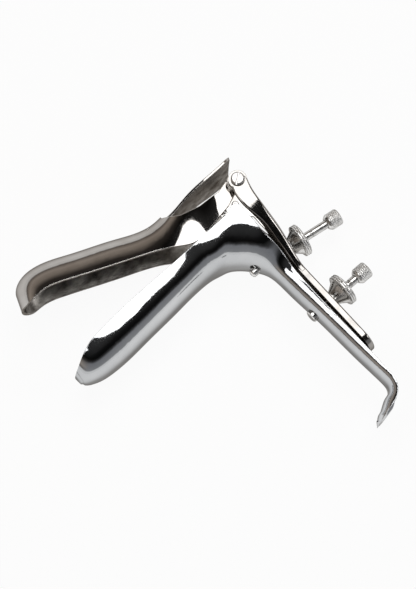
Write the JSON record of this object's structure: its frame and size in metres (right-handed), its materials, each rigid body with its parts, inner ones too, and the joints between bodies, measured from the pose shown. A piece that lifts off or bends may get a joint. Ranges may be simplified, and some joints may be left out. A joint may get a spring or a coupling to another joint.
{
  "type": "bivalve speculum",
  "caption": "Bivalve speculum in polished stainless steel: two trough blades, a slotted yoke, a channel handle with a curled lip and two knurled lock nuts",
  "frame": {"origin": "on the blade hinge axis, in the plane of the face it rests on: the head of the right pivot pin", "axes": "+X from the blades toward the screws, +Y toward the raised upper blade, the handle runs along -Y, +Z is the instrument's left side and points up as it lies on its right side"},
  "size_m": [0.1478, 0.162, 0.0466],
  "materials": {
    "polished_steel": "mirror polished stainless steel outside, satin inside",
    "blade_steel": "mirror polished stainless steel outside, satin inside",
    "yoke_steel": "polished forged stainless steel",
    "lever_steel": "polished stainless sheet",
    "rivet_steel": "polished rivet heads",
    "screw_steel": "polished slotted screws",
    "post_steel": "turned and threaded stainless steel",
    "nut_steel": "knurled, bright plated",
    "cap_steel": "knurled, bright turned",
    "washer_steel": "plain bright washer"
  },
  "bodies": {
    "base": {"lower_blade": "polished_steel", "height_post": "post_steel", "height_stop_cap": "cap_steel", "guide_pin": "rivet_steel"},
    "yoke": {"yoke_frame": "yoke_steel", "pivot_screw_left": "screw_steel", "pivot_pin_right": "screw_steel", "angle_post": "post_steel", "angle_stop_cap": "cap_steel"},
    "blade": {"upper_blade": "blade_steel", "thumb_lever": "lever_steel", "lever_rivets": "rivet_steel"},
    "angle_lock": {"angle_nut": "nut_steel"},
    "height_lock": {"height_nut": "nut_steel", "height_washer": "washer_steel"}
  },
  "joints": [
    {"name": "yoke_slide", "type": "slide", "parent": "base", "child": "yoke", "axis": [0, 1, 0], "range_m": [0, 0.022]},
    {"name": "blade_hinge", "type": "hinge", "parent": "yoke", "child": "blade", "pos_m": [0, 0, 0.0233], "axis": [0, 0, 1], "range_deg": [0, 16]},
    {"name": "angle_nut_travel", "type": "slide", "parent": "yoke", "child": "angle_lock", "axis": [0.9903, -0.1392, 0], "range_m": [0, 0.0109]},
    {"name": "height_nut_travel", "type": "slide", "parent": "base", "child": "height_lock", "axis": [1, 0, 0], "range_m": [0, 0.0055]}
  ],
  "couplings": [
    {"joint": "angle_nut_travel", "follows": "blade_hinge", "m_per_rad": 0.03867}
  ]
}
